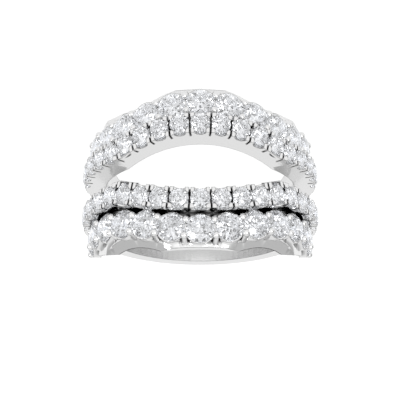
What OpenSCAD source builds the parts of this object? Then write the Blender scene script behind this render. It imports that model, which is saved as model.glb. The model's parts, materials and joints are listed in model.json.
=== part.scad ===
// Ring guard for an engagement ring: two bands of white metal round one finger hole. They bow
// apart at the head, run side by side along a slot and join at the back. Each band carries an
// inner row of small stones on square posts and an outer row of large stones on ball prongs.
//
// Sizes are in millimetres. The ring is drawn about its finger axis, head towards -Y, and is then
// laid on its side, as it rests on a table.

/* [Finger hole and shank] */
// Inside diameter
finger_d = 17.6; // [16:0.1:20]
// Thickness of the plain back of the shank
back_thick = 1.85; // [1.5:0.05:2.2]
// How far the inside of the plain back is relieved, from the seam where the bands are soldered on
back_relief = 0.02; // [0.01:0.01:0.05]
// Half the width of the back of the shank
back_half = 3.25; // [2.8:0.05:3.5]
// Radius of the domed outside of the shank, across its width
dome_r = 10; // [9:0.5:20]
// Half the width over both bands, halfway round
side_half = 5.2; // [4.9:0.05:5.6]
// Lean of the outer sides, halfway round
side_lean = 19.5; // [17:0.5:22]
// Radius of the long curve of the outer sides
side_arc_r = 45; // [35:1:60]
// Radius where the outer sides run into the back
shoulder_r = 4; // [2:0.5:6]
// Half the width over both bands, at the head
head_half = 7.3; // [7.1:0.05:7.6]

/* [Gap between the bands] */
// Half the height of the eye at the level of the small stones
eye_half = 2.45; // [2.2:0.05:2.8]
// Radius of the eye's two edges
eye_arc_r = 19; // [17:0.5:24]
// Flare of the eye towards the outside
eye_flare = 4; // [2:0.5:6]
// Half the width of the slot beside the finger
slot_half = 1.03; // [0.9:0.01:1.2]
// Distance from the middle at which the slot starts to flare
slot_flare_x = 7.8; // [7.4:0.1:8.2]
// Flare of the slot towards the sides
slot_flare = 4; // [2:0.5:6]
// How far behind the finger's middle the slot ends
slot_back = 5.6; // [4:0.1:6]
// How far behind the finger's middle the plain shank starts
shank_front = 0.9; // [0.5:0.1:1.2]

/* [Large stones] */
// Diameter
large_d = 2.46; // [2.3:0.01:2.47]
// Distance from one stone to the next
large_pitch = 2.56; // [2.55:0.01:2.6]
// Stones on each side of the middle one
large_each_side = 6; // [4:1:6]
// Height of their girdles over the finger hole
large_row_lift = 1.13; // [1.1:0.01:1.4]
// How much higher they sit at the head
large_row_rise = 0.12; // [0:0.01:0.3]
// Distance of the row from the ring's middle plane, at the head
large_row_head = 5.77; // [5.6:0.01:5.9]
// Distance of the row from the same plane, beside the finger
large_row_side = 4.2; // [4.1:0.01:4.25]
// Distance from the middle at which the row's swell has run out
large_row_end = 9.8; // [9:0.1:9.9]

/* [Small stones] */
// Diameter
small_d = 1.72; // [1.6:0.01:1.73]
// Distance from one stone to the next
small_pitch = 1.84; // [1.84:0.01:1.9]
// Stones on each side of the middle one
small_each_side = 9; // [6:1:9]
// Height of their girdles over the finger hole
small_row_lift = 1.82; // [1.7:0.01:2]
// How much higher they sit at the head
small_row_rise = 0.58; // [0.4:0.01:0.7]
// Distance of the row from the gap's edge
small_row_inset = 1; // [0.97:0.01:1.03]

/* [Cut of the stones, as shares of the diameter] */
// Diameter of the table
table_share = 0.57; // [0.5:0.01:0.62]
// Height of the crown
crown_share = 0.15; // [0.12:0.01:0.17]
// Depth of the pavilion
pavilion_share = 0.38; // [0.34:0.01:0.39]
// Thickness of the girdle
girdle_share = 0.03; // [0.02:0.005:0.04]

/* [Settings] */
// Clearance between a stone and its seat
seat_gap = 0.04; // [0.03:0.01:0.06]
// Radius of the flat bottom of a seat, as a share of the stone's diameter
seat_floor = 0.012; // [0.01:0.002:0.014]
// Thickness of the base rail under the large stones
rail_thick = 0.65; // [0.5:0.05:0.7]
// Wall of the cup round a large stone
cup_wall = 0.13; // [0.08:0.01:0.15]
// How far the rim of the cup lies below the girdle
cup_drop = 0.12; // [0.08:0.01:0.2]
// How far the cup reaches into the rail
cup_root = 0.35; // [0.3:0.01:0.4]
// Diameter of a ball prong's leg
leg_d = 0.5; // [0.4:0.02:0.56]
// Diameter of its ball
ball_d = 0.68; // [0.6:0.02:0.72]
// Distance of the ball from the middle of the row
ball_offset = 0.7; // [0.66:0.01:0.76]
// Height of the ball's middle over the girdle
ball_rise = 0.22; // [0.16:0.01:0.3]
// Lean of the leg, away from the row
leg_lean = 28; // [20:1:34]
// Length of the leg
leg_len = 1.1; // [0.9:0.05:1.2]
// Width of the small stones' wall, at its foot
wall_foot = 1.78; // [1.7:0.01:1.8]
// Width of the same wall round the stones
wall_top = 1.93; // [1.88:0.01:1.95]
// Height of the square posts over the girdle
post_rise = 0.14; // [0.1:0.01:0.2]
// Width of the slit between two posts
slit_w = 0.14; // [0.08:0.01:0.14]
// Depth of the slit below the girdle
slit_depth = 0.6; // [0.4:0.05:0.8]
// Radius of the scallop under each small stone
scallop_r = 0.5; // [0.4:0.01:0.55]
// Metal between the scallop and the notch over it
scallop_roof = 0.13; // [0.1:0.01:0.2]
// Length, along the row, of the notch that parts the posts across it
notch_len = 0.6; // [0.4:0.05:0.8]
// Half the width of the same notch
notch_half = 0.5; // [0.4:0.01:0.6]
// Depth of the same notch below the girdle
notch_depth = 0.25; // [0.15:0.05:0.4]
// Distance of the rail's chamfer from the ring's middle
chamfer_reach = 10.95; // [10.9:0.05:11.6]
// Direction of the chamfer, measured from the side of the ring to its head
chamfer_turn = 46; // [40:1:50]
// Direction of the chamfer, measured up to the finger axis
chamfer_lift = 39.3; // [35:0.5:45]

/* [Hidden] */
$fn = 96;

metal = "#dcdcdf";
diamond = "#f3f5f8";

bore_r = finger_d / 2;
back_r = bore_r + back_thick;
rail_r = bore_r + rail_thick;
large_row_r = bore_r + large_row_lift;
small_row_r = bore_r + small_row_lift;
// Longer than any side of the ring, for the cutting shapes
reach = 30;
// How far a shape runs into the next one, and how far a cut runs past a thin wall
overlap = 0.3;
lap = 0.1;
// How far a cut goes on over the posts, past the balls beside them
cut_over = 0.5;

// Rows of stones as [girdle radius, rise, pitch, whether it follows the gap's edge]
large_row = [large_row_r, large_row_rise, large_pitch, false];
small_row = [small_row_r, small_row_rise, small_pitch, true];

// The outer side, seen along X, is one long arc that meets the back in a hollow one
side_mid = [side_arc_r * sin(side_lean), side_half - side_arc_r * cos(side_lean)];
hollow_y = back_half + shoulder_r;
hollow_x = side_mid[0] - sqrt(pow(side_arc_r + shoulder_r, 2) - pow(hollow_y - side_mid[1], 2));
hollow = [hollow_x, hollow_y];
hollow_end = side_mid + (hollow - side_mid) * side_arc_r / (side_arc_r + shoulder_r);

// The plane on which the ring lies: it touches the back's corner and the head's long arc
back_corner = [dome_sag(back_half) - back_r, back_half];
to_mid = side_mid - back_corner;
rest_lean = asin(side_arc_r / norm(to_mid)) + atan2(to_mid[1], to_mid[0]);
rest_drop = back_corner[1] * cos(rest_lean) - back_corner[0] * sin(rest_lean);

// Furthest points of the laid ring to the front and to the back, which centre it on the origin
front_reach = (small_row_r + small_row_rise + (girdle_share / 2 + crown_share) * small_d)
    * cos(rest_lean) + (eye_half + small_row_inset + table_share * small_d / 2) * sin(rest_lean);
rear_reach = (back_r - dome_r) * cos(rest_lean) + dome_r;
box_shift = (front_reach - rear_reach) / 2;

// Name of a large stone: its band, and its number from left to right
function stone_name(side, n) = str("large_stone_", side, "_", n < 10 ? "0" : "", n);

// How far the dome has fallen at a distance from the middle of the shank
function dome_sag(a) = dome_r - sqrt(dome_r * dome_r - a * a);

// Distance of a row from the ring's middle plane, at a distance x from the middle of the head: the
// small row keeps its distance from the gap's edge, and the large one swells in a smooth wave
function row_a(row, x) = row[3]
    ? max(slot_half, sqrt(pow(eye_arc_r + small_row_inset, 2) - x * x) - eye_arc_r + eye_half
        - small_row_inset) + small_row_inset
    : large_row_side + (large_row_head - large_row_side)
        * (1 + cos(180 * min(abs(x) / large_row_end, 1))) / 2;

// Direction of a row in degrees, seen from outside at the angle t round the finger
function row_turn(row, t) =
    let (x = row[0] * sin(t), d = 0.01)
    atan((row_a(row, x + d) - row_a(row, x - d)) / (2 * d) * cos(t));

// Angle of the nth stone of a row, found by steps of one pitch; half numbers lie between stones
function row_t(row, n) = n < 0 ? -row_t(row, -n) : n == 0 ? 0 :
    let (s = min(n, 1), last = row_t(row, n - s), step = s * row[2] / row[0] * 180 / PI)
    last + step * cos(row_turn(row, last + step / 2));

// Numbers of the stones, and of the gaps between the same stones and beyond the last ones
function stones_of(count) = [for (n = [-count : count]) n];
function gaps_of(count) = [for (n = [-count - 1 : count]) n + 0.5];

// Lays the finished ring on its side, with its box centred on the origin
module laid() {
    translate([0, box_shift, rest_drop]) rotate([-rest_lean, 0, 0]) children();
}

// Puts a shape on a row at the angle t, with +Z outwards and +X along the row
module on_row(row, t) {
    translate([0, -row[1], 0]) rotate([0, 0, t])
        translate([0, -row[0], row_a(row, row[0] * sin(t))])
            rotate([90, 0, 0]) rotate([0, 0, row_turn(row, t)]) children();
}

// Both bands: the shape and its mirror image
module both_bands() {
    children();
    mirror([0, 0, 1]) children();
}

// A flat outline [distance to the head, distance from the middle plane], drawn along X
module along_x(length) {
    rotate([90, 0, 90]) mirror([1, 0, 0]) linear_extrude(length, center = true) children();
}

// A plan outline [x, distance from the middle plane], drawn from one height at the head to another
module along_head(from, to) {
    rotate([90, 0, 0]) translate([0, 0, from]) linear_extrude(to - from) children();
}

// Everything within the outer sides, which taper from the head to the back
module side_limits() {
    along_x(reach) difference() {
        union() {
            translate([-reach, -back_half]) square([2 * reach, 2 * back_half]);
            for (m = [0, 1]) mirror([0, m]) {
                intersection() {
                    translate(side_mid) circle(side_arc_r, $fn = 360);
                    translate([hollow_end[0], 0]) square([reach, head_half]);
                }
                polygon([[hollow[0], 0], [hollow[0], back_half], hollow_end, [hollow_end[0], 0]]);
            }
        }
        for (m = [0, 1]) mirror([0, m]) translate(hollow) circle(shoulder_r);
    }
}

// Plain shank: a domed band with the taper of the sides, behind the last stones
module shank() {
    intersection() {
        rotate_extrude() intersection() {
            translate([back_r - dome_r, 0]) circle(dome_r);
            translate([bore_r - overlap, -head_half]) square([reach, 2 * head_half]);
        }
        side_limits();
        translate([-reach, shank_front, -reach]) cube(2 * reach);
    }
}

// The finger hole's relieved stretch, in the plain shank
module back_bore() {
    intersection() {
        cylinder(r = bore_r + back_relief, h = reach, center = true);
        translate([-reach, shank_front, -reach]) cube(2 * reach);
    }
}

// Base rail under the large stones, with its corners chamfered down beside the head
module rail() {
    difference() {
        intersection() {
            cylinder(r = rail_r, h = 2 * head_half, center = true);
            side_limits();
            translate([-reach, -2 * reach + shank_front + overlap, -reach]) cube(2 * reach);
        }
        both_bands() for (m = [0, 1]) mirror([m, 0, 0])
            rotate([0, 0, -chamfer_turn]) rotate([0, -chamfer_lift, 0])
                translate([chamfer_reach, -reach / 2, -reach / 2]) cube(reach);
    }
}

// Wall of the small stones: it follows the edge of the gap, out to a width w and a radius r
module small_wall(w, r) {
    intersection() {
        translate([0, -small_row_rise, 0]) cylinder(r = r, h = 2 * head_half, center = true);
        along_head(-shank_front - overlap, reach) union() {
            translate([-reach, 0]) square([2 * reach, slot_half + w]);
            translate([0, eye_half - eye_arc_r]) intersection() {
                circle(eye_arc_r + w, $fn = 360);
                translate([-reach / 2, eye_arc_r - eye_half]) square(reach);
            }
        }
    }
}

// One ball prong on one side of a large row, with its leg leaning by a given angle
module ball_prong(side, lean) {
    translate([0, side * ball_offset, ball_rise]) {
        sphere(d = ball_d);
        rotate([side * lean, 0, 0]) translate([0, 0, -leg_len]) cylinder(d = leg_d, h = leg_len);
    }
}

// Cup under one large stone, from inside the rail to below the girdle
module cup() {
    depth = large_row_r - rail_r + cup_root;
    translate([0, 0, -depth]) cylinder(r = large_d / 2 + cup_wall, h = depth - cup_drop);
}

// Room for a stone of diameter d, with the clearance all round and a flat bottom under its point
module seat(d) {
    g = girdle_share * d / 2;
    r = d / 2 + seat_gap;
    rise = g + crown_share * d;
    floor_r = seat_floor * d;
    depth = pavilion_share * d * (r - floor_r) / (d / 2);
    rotate_extrude() polygon([
        [0, -g - depth],
        [floor_r, -g - depth],
        [r, -g],
        [r, g],
        [table_share * d / 2 + seat_gap, rise + seat_gap],
        [0, rise + seat_gap]
    ]);
}

// What is cut from the small wall between two stones: a slit across it and a notch along it
module post_cut() {
    top = post_rise + cut_over;
    translate([-slit_w / 2, -wall_top / 2 - lap, -slit_depth])
        cube([slit_w, wall_top + 2 * lap, slit_depth + top]);
    translate([-notch_len / 2, -notch_half, -notch_depth])
        cube([notch_len, 2 * notch_half, notch_depth + top]);
}

// The eye between the bands, as the overlap of two long cylinders that lean apart
module eye() {
    intersection_for (m = [0, 1]) mirror([0, 0, m])
        translate([0, -small_row_r - small_row_rise, eye_half - eye_arc_r])
            rotate([90 - eye_flare, 0, 0])
                cylinder(r = eye_arc_r, h = reach, center = true, $fn = 360);
}

// The slot beside the finger, with a round end in each side of the shank
module slot() {
    far = slot_half + (reach - slot_flare_x) * tan(slot_flare);
    end_r = slot_half + (bore_r - slot_flare_x + overlap) * tan(slot_flare);
    along_head(end_r - slot_back, reach) for (m = [0, 1]) mirror([m, 0]) polygon([
        [0, -slot_half], [slot_flare_x, -slot_half], [reach, -far],
        [reach, far], [slot_flare_x, slot_half], [0, slot_half]
    ]);
    translate([0, slot_back - end_r, 0]) rotate([0, 90, 0])
        cylinder(r = end_r, h = reach, center = true);
}

// The half of the eye that is open at the head
module eye_front() {
    difference() {
        eye();
        translate([-reach, 0, -reach]) cube(2 * reach);
    }
}

// Walls, cups and prongs of one band, before anything is cut
module band_body() {
    small_wall(wall_foot, small_row_r - scallop_r + lap);
    difference() {
        small_wall(wall_top, small_row_r + post_rise);
        translate([0, -small_row_rise, 0])
            cylinder(r = small_row_r - scallop_r, h = reach, center = true);
    }
    for (n = stones_of(large_each_side)) on_row(large_row, row_t(large_row, n)) cup();
    for (n = gaps_of(large_each_side), side = [-1, 1])
        let (t = row_t(large_row, n)) on_row(large_row, t) ball_prong(side, leg_lean * cos(t));
}

// Seats of the large stones of one band
module large_seats() {
    for (n = stones_of(large_each_side)) on_row(large_row, row_t(large_row, n)) seat(large_d);
}

// Seats of the small stones of one band
module small_seats() {
    for (n = stones_of(small_each_side)) on_row(small_row, row_t(small_row, n)) seat(small_d);
}

// Scallops through the wall under the small stones of one band
module scallops() {
    for (n = stones_of(small_each_side)) on_row(small_row, row_t(small_row, n))
        translate([0, 0, scallop_r - notch_depth - scallop_roof]) rotate([90, 0, 0])
            cylinder(r = scallop_r, h = wall_top + 2 * lap, center = true);
}

// Slits and notches between the small stones of one band
module post_cuts() {
    for (n = gaps_of(small_each_side - 1)) on_row(small_row, row_t(small_row, n)) post_cut();
}

// All the metal, soldered into one piece. The cuts of the two bands are taken away one kind at a
// time, which an exact modeller does far sooner than from one joined shape.
module mount() {
    color(metal) laid() difference() {
        union() {
            shank();
            rail();
            both_bands() band_body();
        }
        cylinder(r = bore_r, h = reach, center = true);
        back_bore();
        eye_front();
        slot();
        large_seats();
        small_seats();
        scallops();
        post_cuts();
        mirror([0, 0, 1]) large_seats();
        mirror([0, 0, 1]) small_seats();
        mirror([0, 0, 1]) scallops();
        mirror([0, 0, 1]) post_cuts();
    }
}

// One brilliant-cut stone of diameter d: table, stars, kites, girdle, pavilion and point
module brilliant(d) {
    r = d / 2;
    g = girdle_share * r;
    crown = crown_share * d;
    pavilion = pavilion_share * d;
    // The stars' outer tips and the long lower facets' tips lie in the planes of the kites
    star_r = 0.8;
    tip_r = 0.24;
    // Each ring of corners as [radius, height, count, turn]
    rings = [
        [table_share * r, g + crown, 8, 0],
        [star_r * r, g + crown * (1 - star_r * cos(22.5)) / (1 - table_share), 8, 22.5],
        [r, g, 16, 0],
        [r, -g, 16, 0],
        [tip_r * r, -g - pavilion * (1 - tip_r * cos(22.5)), 8, 22.5]
    ];
    corners = [for (q = rings) for (i = [0 : q[2] - 1]) let (a = 360 / q[2] * i + q[3])
        [q[0] * cos(a), q[0] * sin(a), q[1]]];
    // Numbers of the first corner in each ring after the table
    star = 8;
    top = 16;
    low = 32;
    tip = 48;
    point = 56;
    faces = concat(
        [[for (i = [7 : -1 : 0]) i]],
        [for (i = [0 : 7]) let (j = (i + 1) % 8) each [
            [i, j, star + i],
            [i, star + i, top + 2 * i],
            [j, top + 2 * j, star + i],
            [star + i, top + 2 * i + 1, top + 2 * i],
            [star + i, top + 2 * j, top + 2 * i + 1],
            [low + 2 * i, low + 2 * i + 1, tip + i],
            [low + 2 * i + 1, low + 2 * j, tip + i],
            [tip + i, low + 2 * j, tip + j],
            [tip + i, tip + j, point]
        ]],
        [for (i = [0 : 15]) let (j = (i + 1) % 16) each [
            [top + i, top + j, low + j],
            [top + i, low + j, low + i]
        ]]
    );
    polyhedron(concat(corners, [[0, 0, -g - pavilion]]), faces);
}

// The nth large stone of one band, counted from the middle
module large_stone(side, n) {
    color(diamond) laid() mirror([0, 0, side == "top" ? 0 : 1])
        on_row(large_row, row_t(large_row, n)) brilliant(large_d);
}

// The small stones of one band
module small_stones(side) {
    color(diamond) laid() mirror([0, 0, side == "top" ? 0 : 1])
        for (n = stones_of(small_each_side)) on_row(small_row, row_t(small_row, n)) brilliant(small_d);
}

mount();
small_stones("top");  // small_stones_top
small_stones("bottom");  // small_stones_bottom
for (side = ["top", "bottom"], n = stones_of(large_each_side))
    large_stone(side, n);
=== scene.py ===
# Ring guard: two bands of polished white gold round one finger hole, set with 64 clear brilliants.
import json
import math

import bmesh
import bpy
import numpy as np
from mathutils import Matrix, Vector
from mathutils.bvhtree import BVHTree


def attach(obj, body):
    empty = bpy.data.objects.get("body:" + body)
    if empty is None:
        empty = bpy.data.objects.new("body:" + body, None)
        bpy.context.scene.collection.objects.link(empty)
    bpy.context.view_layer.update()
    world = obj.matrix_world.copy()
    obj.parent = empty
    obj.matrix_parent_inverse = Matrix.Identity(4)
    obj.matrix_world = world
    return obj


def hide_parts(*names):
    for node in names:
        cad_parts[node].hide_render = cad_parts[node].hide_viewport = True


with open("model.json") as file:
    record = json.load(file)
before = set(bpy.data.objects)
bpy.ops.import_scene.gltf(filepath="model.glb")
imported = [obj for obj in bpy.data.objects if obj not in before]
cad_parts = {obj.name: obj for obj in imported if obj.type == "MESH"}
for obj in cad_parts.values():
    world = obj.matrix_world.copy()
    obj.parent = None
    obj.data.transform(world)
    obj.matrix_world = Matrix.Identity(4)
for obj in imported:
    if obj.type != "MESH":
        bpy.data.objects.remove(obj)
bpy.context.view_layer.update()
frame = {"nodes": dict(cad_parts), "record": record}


# Camera. The ring is seen from the front of its head, 18.6 degrees off the plane of its bands and
# from the side that faces up as it lies. The picture is turned half round, so that the band that
# touches the table is the upper one, as in a picture of the ring standing on its shank.
MM = 0.001
finger_hole = next(m for m in frame["record"]["mounts"] if m["name"] == "finger_hole")
ring_middle = Vector(finger_hole["pos_m"])
finger_axis = Vector(finger_hole["axis"]).normalized()
to_head = Vector((0, -finger_axis.z, finger_axis.y))


def place_camera():
    """A long lens at 126 mm from the finger's middle, turned by the view's tilt off the head's
    direction; the picture's up is the finger axis pointing down."""
    tilt = math.radians(18.6)
    distance = 126.2 * MM
    pixels_per_mm = 10.7
    picture_side = 400
    sensor_mm = 36
    shift_right, shift_up = -0.25, 1.6
    out = math.cos(tilt) * to_head + math.sin(tilt) * finger_axis
    up = math.sin(tilt) * to_head - math.cos(tilt) * finger_axis
    right = up.cross(out)
    data = bpy.data.cameras.new("camera")
    data.sensor_width = sensor_mm
    data.lens = sensor_mm * distance / MM * pixels_per_mm / picture_side
    data.shift_x, data.shift_y = shift_right / picture_side, shift_up / picture_side
    data.clip_start, data.clip_end = 0.01, 10
    cam = bpy.data.objects.new("camera", data)
    bpy.context.scene.collection.objects.link(cam)
    turn = Matrix((right, up, out)).transposed().to_4x4()
    cam.matrix_world = Matrix.Translation(ring_middle + out * distance) @ turn
    bpy.context.scene.camera = cam


place_camera()


# Mount. Cast in 14 carat white gold, rhodium plated and polished to a mirror, with the balls and
# square posts left bright and the slits between the posts painted as dark lines of shade. The
# whole mount is one piece of metal, so the CAD solid gives its form and this copy only gets smooth
# curves.
def linear(hex_colour):
    """sRGB hex to linear: each channel c becomes c / 12.92 below 0.04045, and above it
    ((c + 0.055) / 1.055) to the power of 2.4."""
    c = np.array([int(hex_colour[i : i + 2], 16) for i in (1, 3, 5)]) / 255
    return (*np.where(c <= 0.04045, c / 12.92, ((c + 0.055) / 1.055) ** 2.4), 1.0)


def add(tree, kind, settings=None, **links):
    """Adds a node, sets its properties and unlinked sockets, and links the named sockets."""
    node = tree.nodes.new(kind)
    for name, value in (settings or {}).items():
        if name in node.inputs:
            node.inputs[name].default_value = value
        else:
            setattr(node, name, value)
    for name, source in links.items():
        tree.links.new(source, node.inputs[name.replace("_", " ")])
    return node


def blend(tree, factor, low, high):
    """The socket of a mix of two colours, each a hex colour or a socket. The colour sockets of
    this node share their names with its other kinds, so they go by number."""
    node = add(tree, "ShaderNodeMix", {"data_type": "RGBA"})
    tree.links.new(factor, node.inputs[0])
    for number, colour in ((6, low), (7, high)):
        if isinstance(colour, str):
            node.inputs[number].default_value = linear(colour)
        else:
            tree.links.new(colour, node.inputs[number])
    return node.outputs[2]


def two_tones(tree, factor, low, high):
    """The socket of a colour ramp between two stops, each a position and a hex colour."""
    node = add(tree, "ShaderNodeValToRGB", Fac=factor)
    for stop, (position, colour) in zip(node.color_ramp.elements, (low, high)):
        stop.position = position
        stop.color = linear(colour)
    return node.outputs["Color"]


def maths(tree, kind, operation, *sources):
    """The value of a maths node over the given sockets."""
    node = add(tree, kind, {"operation": operation})
    for socket, source in zip(node.inputs, sources):
        tree.links.new(source, socket)
    return node.outputs["Value"]


def new_material(name):
    """An empty node material, and its tree."""
    mat = bpy.data.materials.new(name)
    mat.use_nodes = True
    mat.node_tree.nodes.clear()
    return mat, mat.node_tree


def white_gold():
    """High-polish rhodium-plated white gold: a bright neutral grey mirror. The last buffing
    leaves faint haze and hairlines about 0.1 mm apart, coarser than life so that they show.
    Edges within 0.11 mm are painted as thin dark lines of painted reflection, and slits and
    grooves are painted nearly black as painted shade."""
    mat, tree = new_material("rhodium-plated white gold, high polish")
    place = add(tree, "ShaderNodeTexCoord")
    haze = add(
        tree,
        "ShaderNodeTexNoise",
        {"Scale": 1 / (2.5 * MM), "Detail": 4.0, "Roughness": 0.6},
        Vector=place.outputs["Object"],
    )
    rough = add(
        tree,
        "ShaderNodeMapRange",
        {"From Min": 0.3, "From Max": 0.7, "To Min": 0.1, "To Max": 0.16},
        Value=haze.outputs["Fac"],
    )
    along = add(
        tree,
        "ShaderNodeMapping",
        {"Scale": (0.15, 1.0, 1.0)},
        Vector=place.outputs["Object"],
    )
    hairlines = add(
        tree,
        "ShaderNodeTexNoise",
        {"Scale": 1 / (0.1 * MM), "Detail": 2.0},
        Vector=along.outputs["Vector"],
    )
    soft_edge = add(tree, "ShaderNodeBevel", {"samples": 4, "Radius": 0.11 * MM})
    bump = add(
        tree,
        "ShaderNodeBump",
        {"Strength": 0.05, "Distance": 0.01 * MM},
        Height=hairlines.outputs["Fac"],
        Normal=soft_edge.outputs["Normal"],
    )
    # Painted shade: the colour goes nearly black (#151515) where other metal lies within 0.55 mm,
    # in slits, grooves and crevices.
    hidden = add(
        tree,
        "ShaderNodeAmbientOcclusion",
        {"samples": 8, "Distance": 0.55 * MM, "only_local": True},
    )
    painted_crevice_shade = add(
        tree,
        "ShaderNodeMapRange",
        {"From Min": 0.3, "From Max": 0.62},
        Value=hidden.outputs["AO"],
    )
    # Painted reflection: the colour goes to dark grey #3c3c3c within 0.11 mm of an edge, where the
    # rounded normal turns away from the flat one.
    flat = add(tree, "ShaderNodeNewGeometry")
    sockets = soft_edge.outputs["Normal"], flat.outputs["Normal"]
    painted_edge_lines = add(
        tree,
        "ShaderNodeMapRange",
        {"From Min": 0.85, "From Max": 0.99},
        Value=maths(tree, "ShaderNodeVectorMath", "DOT_PRODUCT", *sockets),
    )
    face = blend(tree, painted_edge_lines.outputs["Result"], "#3c3c3c", "#dedede")
    metal = add(
        tree,
        "ShaderNodeBsdfPrincipled",
        {"Metallic": 1.0},
        Base_Color=blend(tree, painted_crevice_shade.outputs["Result"], "#151515", face),
        Roughness=rough.outputs["Result"],
        Normal=bump.outputs["Normal"],
    )
    add(tree, "ShaderNodeOutputMaterial", Surface=metal.outputs["BSDF"])
    return mat


def seat_gold_with_painted_light():
    """The seats under the stones, cut with a bright tool and painted a cleaner, whiter mirror than
    the outside, a lit copy of the same metal, with the tool's ripples about 0.15 mm apart. A faint
    painted glow in the ripples stands for the light that bounces back and forth in the thin gap
    under a stone."""
    mat, tree = new_material("white gold seat, with painted light")
    place = add(tree, "ShaderNodeTexCoord")
    ripples = add(
        tree,
        "ShaderNodeTexNoise",
        {"Scale": 1 / (0.15 * MM), "Detail": 1.0},
        Vector=place.outputs["Object"],
    )
    bump = add(
        tree,
        "ShaderNodeBump",
        {"Strength": 0.1, "Distance": 0.01 * MM},
        Height=ripples.outputs["Fac"],
    )
    # Painted light: a glow in the ripples' pattern, so the seat metal shines of itself though it
    # is no lamp.
    glow = two_tones(tree, ripples.outputs["Fac"], (0.42, "#9a9a9a"), (0.5, "#ffffff"))
    # Painted light: the seat's base colour #fbfbfb is a whiter, lit copy of the mount's metal.
    metal = add(
        tree,
        "ShaderNodeBsdfPrincipled",
        {
            "Base Color": linear("#fbfbfb"),
            "Metallic": 1.0,
            "Roughness": 0.12,
            "Emission Strength": 0.4,
        },
        Emission_Color=glow,
        Normal=bump.outputs["Normal"],
    )
    add(tree, "ShaderNodeOutputMaterial", Surface=metal.outputs["BSDF"])
    return mat


def smooth_copy(node, name, weld=0.0005 * MM, crease=15):
    """A copy of a CAD node with its corners merged and shaded smooth, except at edges that turn by
    more than the crease angle in degrees."""
    mesh = frame["nodes"][node].data.copy()
    bm = bmesh.new()
    bm.from_mesh(mesh)
    bmesh.ops.remove_doubles(bm, verts=bm.verts, dist=weld)
    bm.to_mesh(mesh)
    bm.free()
    mesh.name = name
    mesh.materials.clear()
    mesh.polygons.foreach_set("use_smooth", np.ones(len(mesh.polygons), bool))
    mesh.set_sharp_from_angle(angle=math.radians(crease))
    piece = bpy.data.objects.new(name, mesh)
    bpy.context.scene.collection.objects.link(piece)
    normals = piece.modifiers.new("even shading", "WEIGHTED_NORMAL")
    normals.keep_sharp = True
    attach(piece, "root")
    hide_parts(node)
    return piece


def stone_facets():
    """All the stones' facets in one search tree."""
    corners, faces, start = [], [], 0
    for name, node in frame["nodes"].items():
        if name != "mount":
            mesh = node.data
            corners += [v.co for v in mesh.vertices]
            faces += [[start + i for i in face.vertices] for face in mesh.polygons]
            start += len(mesh.vertices)
    return BVHTree.FromPolygons(corners, faces)


def cut_seats(mesh, slot, reach=0.14 * MM):
    """Gives a material slot to each face that looks at a stone from nearer than the reach, which
    is the 0.04 mm clearance of a round seat and the depth of a flat facet's chord in it."""
    stones = stone_facets()
    for face in mesh.polygons:
        if stones.ray_cast(face.center, face.normal, reach)[0] is not None:
            face.material_index = slot


mount = smooth_copy("mount", "polished_mount")
mount.data.materials.append(white_gold())
# The seats get a whiter, glowing copy of the metal, painted light in the stones.
mount.data.materials.append(seat_gold_with_painted_light())
cut_seats(mount.data, slot=1)


# Stones. Round brilliants of clear white diamond, each cut with a table, stars, kites, halves,
# girdle and pavilion. They keep the flat facets of the CAD solids, since flat facets are what
# makes them flash.
def diamond():
    """Diamond: index of refraction 2.42, facets polished flat, and a trace of grey in clouds
    about 1.2 mm wide."""
    mat, tree = new_material("brilliant-cut diamond")
    place = add(tree, "ShaderNodeTexCoord")
    clouds = add(
        tree,
        "ShaderNodeTexNoise",
        {"Scale": 1 / (1.2 * MM), "Detail": 2.0},
        Vector=place.outputs["Object"],
    )
    stone = add(
        tree,
        "ShaderNodeBsdfPrincipled",
        {"Roughness": 0.0, "IOR": 2.42, "Transmission Weight": 1.0},
        Base_Color=two_tones(tree, clouds.outputs["Fac"], (0.0, "#e0e2e6"), (1.0, "#eeeff1")),
    )
    add(tree, "ShaderNodeOutputMaterial", Surface=stone.outputs["BSDF"])
    return mat


stone_material = diamond()
for name, node in frame["nodes"].items():
    if name != "mount":
        node.data.materials.clear()
        node.data.materials.append(stone_material)


# Studio. A floor of white acrylic lit from below, in a white tent of light that is brighter in
# front and dimmer at the sides. Only the stones see the dark gaps between the tent's panels, which
# their facets break up into glitter; the polished metal sees plain white.
def acrylic():
    """Matt white acrylic with faint marks 0.4 mm wide, glowing evenly."""
    mat, tree = new_material("white acrylic, lit from below")
    place = add(tree, "ShaderNodeTexCoord")
    marks = add(
        tree,
        "ShaderNodeTexNoise",
        {"Scale": 1 / (0.4 * MM), "Detail": 3.0},
        Vector=place.outputs["Object"],
    )
    bump = add(
        tree,
        "ShaderNodeBump",
        {"Strength": 0.02, "Distance": 0.02 * MM},
        Height=marks.outputs["Fac"],
    )
    sheet = add(
        tree,
        "ShaderNodeBsdfPrincipled",
        {
            "Base Color": linear("#868686"),
            "Roughness": 0.9,
            "Specular IOR Level": 0.1,
            "Emission Color": linear("#ffffff"),
            "Emission Strength": 0.85,
        },
        Normal=bump.outputs["Normal"],
    )
    add(tree, "ShaderNodeOutputMaterial", Surface=sheet.outputs["BSDF"])
    return mat


def lay_floor(half=2.0):
    """A flat square on the table's plane, half that many metres from its middle to a side."""
    mesh = bpy.data.meshes.new("floor")
    corners = [(-half, -half, 0), (half, -half, 0), (half, half, 0), (-half, half, 0)]
    mesh.from_pydata(corners, [], [(0, 1, 2, 3)])
    floor = bpy.data.objects.new("floor", mesh)
    bpy.context.scene.collection.objects.link(floor)
    mesh.materials.append(acrylic())


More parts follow.
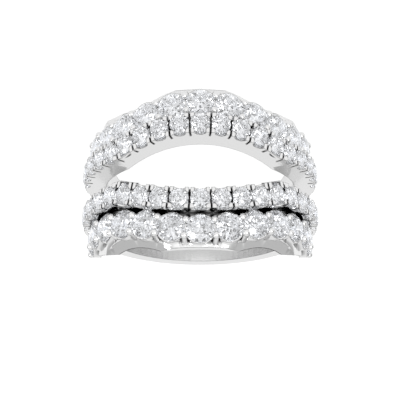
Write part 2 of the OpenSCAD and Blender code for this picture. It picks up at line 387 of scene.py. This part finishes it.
def light_tent():
    """The world's light by direction. Its dark gaps show only to rays that come out of a stone."""
    world = bpy.data.worlds.new("light tent")
    bpy.context.scene.world = world
    world.use_nodes = True
    tree = world.node_tree
    tree.nodes.clear()
    where = add(tree, "ShaderNodeTexCoord").outputs["Generated"]
    gaps = add(tree, "ShaderNodeTexNoise", {"Scale": 46.0, "Detail": 0.0}, Vector=where)
    ray = add(tree, "ShaderNodeLightPath")
    panels = two_tones(tree, gaps.outputs["Fac"], (0.42, "#181818"), (0.46, "#cecece"))
    front = add(tree, "ShaderNodeVectorMath", {"operation": "DOT_PRODUCT"}, Vector=where)
    front.inputs[1].default_value = (0, -0.85, 0.52)
    front_panel = add(
        tree,
        "ShaderNodeMapRange",
        {"From Min": 0.45, "From Max": 0.9, "To Min": 1.0, "To Max": 1.32},
        Value=front.outputs["Value"],
    )
    across = add(tree, "ShaderNodeSeparateXYZ", Vector=where)
    side_panel = add(
        tree,
        "ShaderNodeMapRange",
        {"From Min": 0.4, "From Max": 0.95, "To Min": 1.0, "To Max": 0.5},
        Value=maths(tree, "ShaderNodeMath", "ABSOLUTE", across.outputs["X"]),
    )
    sockets = front_panel.outputs["Result"], side_panel.outputs["Result"]
    tent = add(
        tree,
        "ShaderNodeBackground",
        Color=blend(tree, ray.outputs["Is Transmission Ray"], "#ffffff", panels),
        Strength=maths(tree, "ShaderNodeMath", "MULTIPLY", *sockets),
    )
    add(tree, "ShaderNodeOutputWorld", Surface=tent.outputs["Background"])


def soft_box(name, place, size, power):
    """A square area light at place, in millimetres from the ring's middle, aimed at it."""
    data = bpy.data.lights.new(name, "AREA")
    data.size = size * MM
    data.energy = power
    light = bpy.data.objects.new(name, data)
    spot = ring_middle + Vector(place) * MM
    light.location = spot
    light.rotation_mode = "QUATERNION"
    light.rotation_quaternion = (ring_middle - spot).to_track_quat("-Z", "Y")
    bpy.context.scene.collection.objects.link(light)


lay_floor()
light_tent()
soft_box("key", (-120, -160, 180), size=90, power=0.12)
soft_box("fill", (160, -60, 120), size=70, power=0.06)

# Light turns back many times inside a brilliant before it comes out at the top.
scene = bpy.context.scene
scene.view_settings.view_transform = "Standard"
scene.cycles.max_bounces = 32
scene.cycles.glossy_bounces = 24
scene.cycles.transmission_bounces = 24
